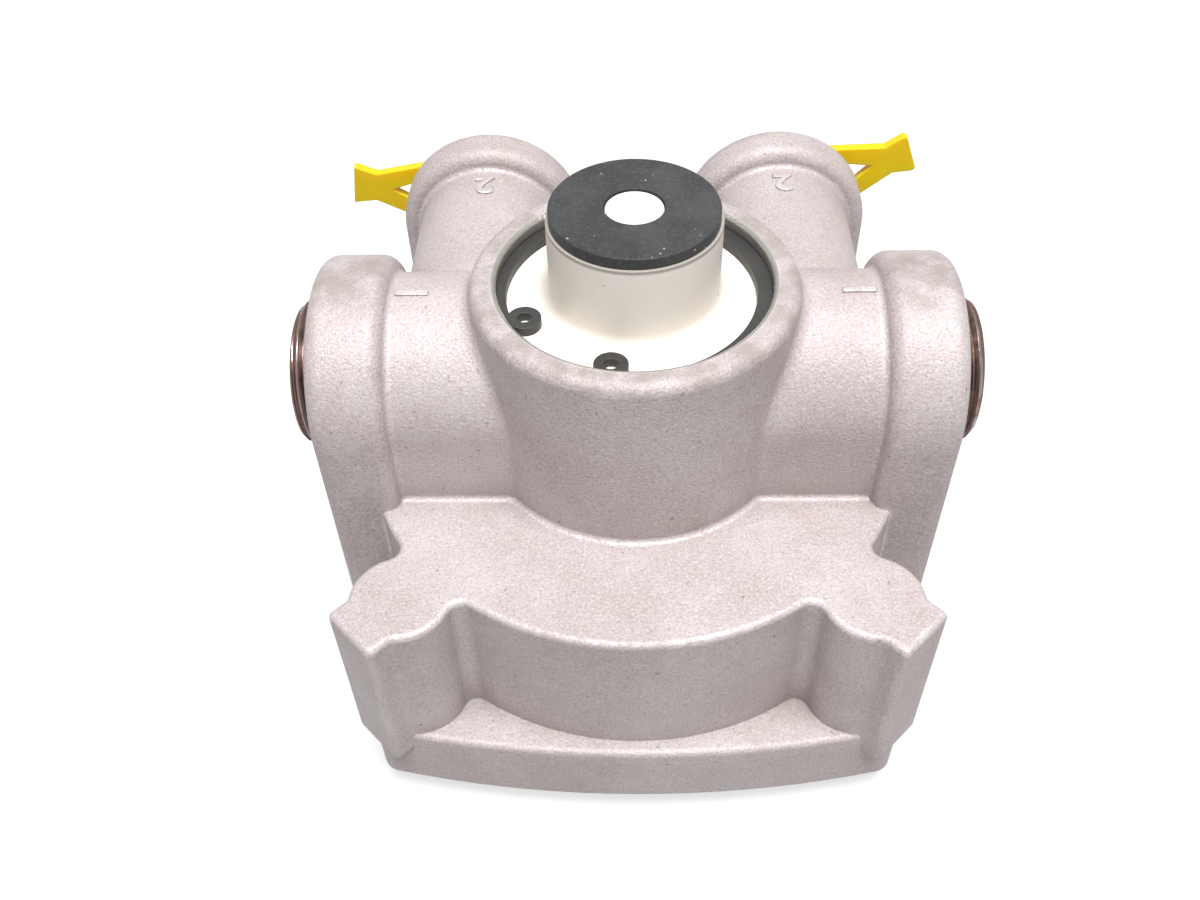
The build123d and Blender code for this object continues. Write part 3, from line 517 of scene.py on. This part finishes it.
class Rule(Network):
    """A Geometry Nodes tree under construction, with named sizes."""

    def __init__(self, name):
        self.tree = bpy.data.node_groups.new(name, "GeometryNodeTree")
        self.tree.interface.new_socket("Geometry", in_out="OUTPUT", socket_type="NodeSocketGeometry")
        self.given = self.tree.nodes.new("NodeGroupInput")

    def size(self, name, value=None, kind="Float"):
        socket = self.tree.interface.new_socket(name, in_out="INPUT", socket_type="NodeSocket" + kind)
        if value is not None:
            socket.default_value = value
        return self.given.outputs[name]

    def finish(self, shape):
        self.tree.links.new(shape, self.tree.nodes.new("NodeGroupOutput").inputs[0])

    def make(self, name, **sizes):
        """Runs the tree once and keeps what it makes as a plain mesh object."""
        maker = bpy.data.objects.new(name, bpy.data.meshes.new(name))
        scene.collection.objects.link(maker)
        modifier = maker.modifiers.new("rule", "NODES")
        modifier.node_group = self.tree
        for item in self.tree.interface.items_tree:
            key = item.name.replace(" ", "_")
            if item.in_out == "INPUT" and key in sizes:
                modifier[item.identifier] = sizes[key]
        seen = maker.evaluated_get(bpy.context.evaluated_depsgraph_get())
        maker.modifiers.clear()
        maker.data = bpy.data.meshes.new_from_object(seen)
        return maker


thread_rule = Rule("threaded_sleeve")
length = thread_rule.size("length", 0.0208)
pitch = thread_rule.size("pitch", 0.001814)
outer_crest = thread_rule.size("outer crest", 0.01333)
outer_root = thread_rule.size("outer root", 0.01245)
inner_crest = thread_rule.size("inner crest", 0.00915)
inner_root = thread_rule.size("inner root", 0.01005)
steps_along = thread_rule.size("steps along", 115, kind="Int")
steps_round = thread_rule.size("steps round", 96, kind="Int")
finish_socket = thread_rule.size("finish", kind="Material")
print("the thread tree has", len(thread_rule.tree.interface.items_tree) - 1, "sizes")

# %% [markdown]
# The grid has twice the steps along, and two rows more for the ends. A row's number says whether it is on the outer
# or the inner thread. The ridge of a thread is a triangle wave, cut flat at its crest and its root, that moves on by
# one pitch for each turn. At both ends a small cone takes over, as a chamfer does on the lathe.

# %% Places of the sleeve's points
r = thread_rule
rows = r.maths("ADD", r.maths("MULTIPLY", steps_along, 2.0), 2.0)
grid = r.add("GeometryNodeMeshGrid", Vertices_X=r.maths("ADD", rows, 1.0), Vertices_Y=r.maths("ADD", steps_round, 1.0))
index = r.add("GeometryNodeInputIndex")
columns = r.maths("ADD", steps_round, 1.0)
row = r.maths("MODULO", r.maths("FLOOR", r.maths("DIVIDE", r.maths("ADD", index, 0.5), columns)), rows)
turn = r.maths("DIVIDE", r.maths("FLOOR", r.maths("MODULO", r.maths("ADD", index, 0.5), columns)), steps_round)
inside = r.maths("GREATER_THAN", row, r.maths("ADD", steps_along, 0.5))
back = r.maths("SUBTRACT", r.maths("SUBTRACT", rows, 1.0), row)
step = r.maths("ADD", r.maths("MULTIPLY", inside, back), r.maths("MULTIPLY", r.maths("SUBTRACT", 1.0, inside), row))
along = r.maths("MULTIPLY", r.maths("DIVIDE", step, steps_along), length)

wave = r.maths("PINGPONG", r.maths("MULTIPLY", r.maths("SUBTRACT", r.maths("DIVIDE", along, pitch), turn), 2.0), 1.0)
ridge = r.span(wave, 0.0, 1.0, start=0.14, end=0.86)
from_end = r.maths("MINIMUM", along, r.maths("SUBTRACT", length, along))
outer = r.span(ridge, outer_root, outer_crest)
outer = r.maths("MINIMUM", outer, r.maths("ADD", outer_root, r.maths("SUBTRACT", from_end, 0.0001)))
inner = r.span(ridge, inner_root, inner_crest)
inner = r.maths("MAXIMUM", inner, r.maths("SUBTRACT", inner_root, r.maths("SUBTRACT", from_end, 0.0001)))
radius = r.maths("ADD", r.maths("MULTIPLY", inside, inner), r.maths("MULTIPLY", r.maths("SUBTRACT", 1.0, inside), outer))

angle = r.maths("MULTIPLY", turn, 2 * math.pi)
place = r.add(
    "ShaderNodeCombineXYZ",
    X=along,
    Y=r.maths("MULTIPLY", radius, r.maths("COSINE", angle)),
    Z=r.maths("MULTIPLY", radius, r.maths("SINE", angle)),
)
sleeve = r.add("GeometryNodeSetPosition", Geometry=grid, Position=place)
sleeve = r.add("GeometryNodeMergeByDistance", Geometry=sleeve, Distance=0.000001)
sleeve = r.add("GeometryNodeSetShadeSmooth", Geometry=sleeve, Shade_Smooth=True)
sleeve = r.add("GeometryNodeRealizeInstances", Geometry=sleeve)
r.finish(r.add("GeometryNodeSetMaterial", Geometry=sleeve, Material=finish_socket))
print("the thread tree has", len(r.tree.nodes), "nodes")

# %% [markdown]
# A sleeve is made along +X from the origin, so each one is turned and moved into its bore. The left bushing is turned
# half round about Z and not mirrored, because a mirrored thread would be left-handed. A grid can come out with its
# faces inwards, so the sign of the enclosed volume decides whether they are flipped.

# %% Bushings of the supply ports
BUSHING_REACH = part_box("supply_bushing_right")
PORT_AXIS_Z = (BUSHING_REACH[0][2] + BUSHING_REACH[1][2]) / 2


def enclosed_volume(mesh):
    """Volume inside a closed mesh, negative where its faces point inwards."""
    mesh.calc_loop_triangles()
    corners = [[mesh.vertices[i].co for i in triangle.vertices] for triangle in mesh.loop_triangles]
    return sum(a.dot(b.cross(c)) for a, b, c in corners) / 6


def seat_piece(piece, matrix, replaces=None):
    """Moves a finished mesh into place, turns its faces outwards and hands it to the frame."""
    piece.data.transform(matrix)
    if enclosed_volume(piece.data) < 0:
        piece.data.flip_normals()
    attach(piece, "housing")
    if replaces:
        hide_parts(replaces)


for side, turned in (("left", math.pi), ("right", 0.0)):
    bushing = thread_rule.make("threaded_bushing_" + side, length=BUSHING_REACH[1][0] - BUSHING_REACH[0][0], finish=bushing_steel)
    bushing.data.set_sharp_from_angle(angle=math.radians(50))
    start = Matrix.Translation((BUSHING_REACH[0][0], 0, 0))
    seat_piece(
        bushing,
        Matrix.Translation((0, 0, PORT_AXIS_Z)) @ Matrix.Rotation(turned, 4, "Z") @ start,
        replaces="supply_bushing_" + side,
    )
    print(bushing.name, "faces:", len(bushing.data.polygons), "volume mm3:", round(enclosed_volume(bushing.data) / MM**3))

# %% [markdown]
# Under the valve the control port and the two mounting holes are tapped too. Their bores are plain in the CAD model,
# so the same tree lines each with a thin sleeve, smooth outside and threaded inside, standing on the foot's face.

# %% Threads of the control port and the mounting holes
CONTROL_PORT_RADIUS = 7.3 * MM
MOUNTING_HOLE_RADIUS = 4.1 * MM
MOUNTING_HOLE_SPACING = 57.2 * MM
UPWARDS = Matrix.Rotation(-math.pi / 2, 4, "Y")


def tap(name, across, bore, depth, pitch_mm):
    """Lines a bore that opens downwards with a thread."""
    liner = thread_rule.make(
        name,
        length=depth,
        pitch=pitch_mm * MM,
        outer_crest=bore - 0.02 * MM,
        outer_root=bore - 0.02 * MM,
        inner_crest=bore - 0.45 * MM,
        inner_root=bore - 0.08 * MM,
        steps_along=round(depth / (pitch_mm * MM) * 8),
        steps_round=64,
        finish=cover_aluminium,
    )
    seat_piece(liner, Matrix.Translation((across, 0, 0.2 * MM)) @ UPWARDS)
    print(name, "faces:", len(liner.data.polygons))


tap("control_port_thread", 0, CONTROL_PORT_RADIUS, 11 * MM, 1.411)
for side, across in (("left", -MOUNTING_HOLE_SPACING / 2), ("right", MOUNTING_HOLE_SPACING / 2)):
    tap("mounting_hole_thread_" + side, across, MOUNTING_HOLE_RADIUS, 9 * MM, 1.25)

# %% [markdown]
# A casting of this kind carries plain numbers for its ports, 1 for supply and 2 for delivery, raised less than
# half a millimetre on the barrels. Each is a text object with a soft bevel, turned into a mesh and then wrapped: the
# distance across the glyph becomes an angle about the barrel's axis. The top of a 1 points to the exhaust bore, and
# the top of a 2 points to the front.

# %% Port numbers cast on the barrels
NUMBER_HEIGHT = 5.4 * MM
NUMBER_RELIEF = 0.4 * MM
NUMBER_ROOT = 0.1 * MM
SUPPLY_BARREL_RADIUS = 18.3 * MM
DELIVERY_BARREL_RADIUS = 15.0 * MM


def cast_number(name, digit, centre, top, radius):
    """Raises a digit on the upper side of a barrel. centre is on the barrel's axis, and top is the glyph's upwards."""
    text = bpy.data.curves.new(name, "FONT")
    text.body = digit
    text.align_x = "CENTER"
    text.align_y = "CENTER"
    text.size = NUMBER_HEIGHT / 0.7
    text.extrude = (NUMBER_RELIEF + NUMBER_ROOT) / 2 - 0.12 * MM
    text.bevel_depth = 0.12 * MM
    text.offset = 0.14 * MM
    text.bevel_resolution = 2
    carrier = bpy.data.objects.new(name, text)
    scene.collection.objects.link(carrier)
    mesh = bpy.data.meshes.new_from_object(carrier.evaluated_get(bpy.context.evaluated_depsgraph_get()))
    bpy.data.objects.remove(carrier)
    up = Vector((0, 0, 1))
    across = top.cross(up)
    for vertex in mesh.vertices:
        angle = vertex.co.x / radius
        out = radius + vertex.co.z + (NUMBER_RELIEF - NUMBER_ROOT) / 2
        vertex.co = centre + top * vertex.co.y + (across * math.sin(angle) + up * math.cos(angle)) * out
    mesh.materials.clear()
    mesh.materials.append(cast_aluminium)
    number = bpy.data.objects.new(name, mesh)
    scene.collection.objects.link(number)
    mesh.shade_smooth()
    mesh.set_sharp_from_angle(angle=math.radians(35))
    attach(number, "housing")
    return number


INBOARD = {"left": Vector((1, 0, 0)), "right": Vector((-1, 0, 0))}
FORWARD = Vector((0, -1, 0))
for side, inboard in INBOARD.items():
    supply_centre = -inboard * 39.3 * MM + Vector((0, 0, PORT_AXIS_Z))
    cast_number("supply_number_" + side, "1", supply_centre, inboard, SUPPLY_BARREL_RADIUS)
    delivery_centre = -inboard * DELIVERY_OFFSET + Vector((0, 38.6 * MM, PORT_AXIS_Z))
    number = cast_number("delivery_number_" + side, "2", delivery_centre, FORWARD, DELIVERY_BARREL_RADIUS)
    print(side, "port numbers, faces in a 2:", len(number.data.polygons))

# %% [markdown]
# The table is a large pale plane. Light Path makes it plain white where the camera or a mirror sees it far away, and
# it still keeps the valve's shadow, because only part of what the camera sees is its own glow.

# %% Table, sky and lamps
TABLE_SIZE = 6.0

table_mesh = bpy.data.meshes.new("table")
half = TABLE_SIZE / 2
table_mesh.from_pydata([(-half, -half, 0), (half, -half, 0), (half, half, 0), (-half, half, 0)], [], [(0, 1, 2, 3)])
table = bpy.data.objects.new("table", table_mesh)
scene.collection.objects.link(table)


def seen_directly(tree):
    """1 for what the camera, a mirror or a glass sees."""
    path = tree.nodes.new("ShaderNodeLightPath")
    total = path.outputs["Is Camera Ray"]
    for name in ("Is Glossy Ray", "Is Transmission Ray"):
        node = tree.nodes.new("ShaderNodeMath")
        node.operation = "MAXIMUM"
        tree.links.new(total, node.inputs[0])
        tree.links.new(path.outputs[name], node.inputs[1])
        total = node.outputs[0]
    return total


def matt(tree, level):
    """A plain matt shader of one grey."""
    shader = tree.nodes.new("ShaderNodeBsdfDiffuse")
    shader.inputs["Color"].default_value = (level, level, level, 1)
    return shader.outputs[0]


table_material = bpy.data.materials.new("table_white")
table_material.use_nodes = True
tree = table_material.node_tree
tree.nodes.remove(tree.nodes["Principled BSDF"])
glow = tree.nodes.new("ShaderNodeEmission")
glow.inputs["Strength"].default_value = 0.70
seen_table = tree.nodes.new("ShaderNodeAddShader")
tree.links.new(matt(tree, 0.38), seen_table.inputs[0])
tree.links.new(glow.outputs[0], seen_table.inputs[1])
choose = tree.nodes.new("ShaderNodeMixShader")
tree.links.new(seen_directly(tree), choose.inputs[0])
tree.links.new(matt(tree, 0.36), choose.inputs[1])
tree.links.new(seen_table.outputs[0], choose.inputs[2])
tree.links.new(choose.outputs[0], tree.nodes["Material Output"].inputs["Surface"])
table_mesh.materials.append(table_material)

SKY_STRENGTH = 0.24
world = bpy.data.worlds.new("sky")
scene.world = world
world.use_nodes = True
tree = world.node_tree
sky = tree.nodes["Background"]
sky.inputs["Color"].default_value = (1, 1, 1, 1)
strength = tree.nodes.new("ShaderNodeMapRange")
strength.inputs["To Min"].default_value = SKY_STRENGTH
strength.inputs["To Max"].default_value = 1.0
tree.links.new(seen_directly(tree), strength.inputs["Value"])
tree.links.new(strength.outputs["Result"], sky.inputs["Strength"])


def lamp(name, place, aim, size, watts):
    data = bpy.data.lights.new(name, "AREA")
    data.shape = "DISK"
    data.size = size
    data.energy = watts
    light = bpy.data.objects.new(name, data)
    light.location = place
    light.rotation_euler = (Vector(aim) - Vector(place)).to_track_quat("-Z", "Y").to_euler()
    scene.collection.objects.link(light)
    return light


lamp("ceiling_lamp", (0.06, -0.24, 1.05), (0, 0, 0.05), 0.5, 14)
lamp("near_lamp", (0.02, -0.30, 0.62), (0, 0, 0.06), 0.05, 0.1)

scene.view_settings.view_transform = "Standard"
print("stage set, table size", TABLE_SIZE, "m")

# %% [markdown]
